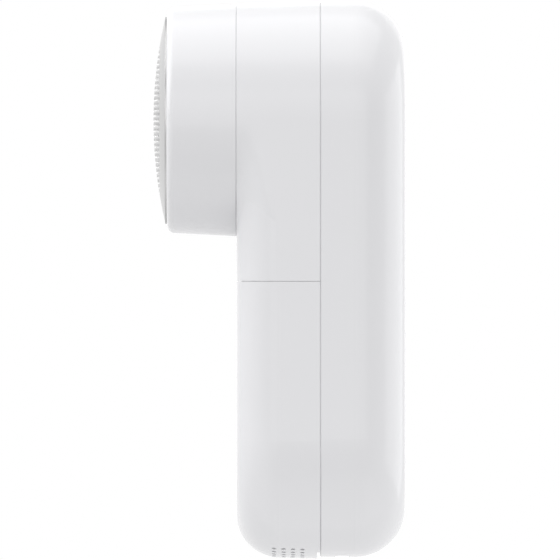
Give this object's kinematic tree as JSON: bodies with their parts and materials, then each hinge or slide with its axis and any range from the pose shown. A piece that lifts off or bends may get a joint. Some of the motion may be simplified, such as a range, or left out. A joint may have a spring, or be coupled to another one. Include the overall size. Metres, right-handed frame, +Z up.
{
  "type": "fabric shaver",
  "caption": "Upright cordless fabric shaver with a round perforated cutting head, a pill-shaped white body and a lint bin that slides off downwards.",
  "frame": {"origin": "under the middle of the outline, level with the lowest point of the lint bin", "axes": "+Z up the housing, -X out of the cutting head, Y across; symmetric about Y = 0"},
  "size_m": [0.0653, 0.0616, 0.1445],
  "materials": {
    "white_plastic": "satin moulded white",
    "inner_plastic": "moulded light grey",
    "foil_steel": "thin perforated stainless sheet",
    "blade_steel": "ground edge",
    "plain_steel": "plain",
    "screw_steel": "dark zinc",
    "magnet": "sintered",
    "copper": "lacquered copper",
    "brass": "sintered and sprung brass",
    "felt": "pressed felt",
    "soft_rubber": "moulded",
    "circuit_board": "solder mask",
    "component_black": "moulded",
    "switch_ivory": "moulded",
    "cell_wrap": "shrink sleeve",
    "lens": "milky clear",
    "lead_red": "insulated wire",
    "lead_black": "insulated wire"
  },
  "bodies": {
    "housing": {"upper_shell": "white_plastic", "back_shell": "white_plastic", "chassis": "inner_plastic", "chassis_screws": "screw_steel", "cutter_chamber": "inner_plastic", "chamber_screws": "screw_steel", "shaft_seal": "felt", "motor_can": "plain_steel", "motor_magnets": "magnet", "motor_bushes": "brass", "motor_end_bell": "inner_plastic", "motor_brushes": "brass", "motor_screws": "screw_steel", "motor_damper": "soft_rubber", "battery_cell": "cell_wrap", "battery_tabs": "plain_steel", "control_board": "circuit_board", "board_parts": "component_black", "charge_board": "circuit_board", "charge_socket": "plain_steel", "charge_tongue": "component_black", "board_screws": "screw_steel", "tact_switch": "component_black", "indicator_led": "lens", "light_pipe": "lens", "motor_leads": "lead_red", "battery_leads": "lead_red", "charge_leads": "lead_black"},
    "cover": {"head_cover": "white_plastic", "foil_screen": "foil_steel", "foil_retainer": "inner_plastic"},
    "rotor": {"motor_shaft": "plain_steel", "motor_armature": "plain_steel", "motor_windings": "copper", "motor_commutator": "copper", "drive_spindle": "plain_steel", "float_spring": "plain_steel"},
    "cutter": {"cutter_wheel": "inner_plastic", "cutter_blades": "blade_steel"},
    "bin": {"lint_bin": "white_plastic"},
    "button": {"power_button": "white_plastic", "switch_plunger": "switch_ivory"}
  },
  "joints": [
    {"name": "cover_twist", "type": "hinge", "parent": "housing", "child": "cover", "pos_m": [-0.0111, 0, 0.11375], "axis": [-1, 0, 0], "range_deg": [0, 30]},
    {"name": "cutter_spin", "type": "hinge", "parent": "housing", "child": "rotor", "pos_m": [-0.0111, 0, 0.11375], "axis": [-1, 0, 0], "continuous": true},
    {"name": "cutter_float", "type": "slide", "parent": "rotor", "child": "cutter", "axis": [1, 0, 0], "range_m": [0, 0.0008], "stiffness_N_per_m": 250, "springref_m": -0.002, "deforming": ["float_spring"]},
    {"name": "bin_slide", "type": "slide", "parent": "housing", "child": "bin", "axis": [0, 0, -1], "range_m": [0, 0.08]},
    {"name": "button_press", "type": "slide", "parent": "housing", "child": "button", "axis": [-1, 0, 0], "range_m": [0, 0.0005], "stiffness_N_per_m": 3000, "springref_m": -0.0003}
  ]
}
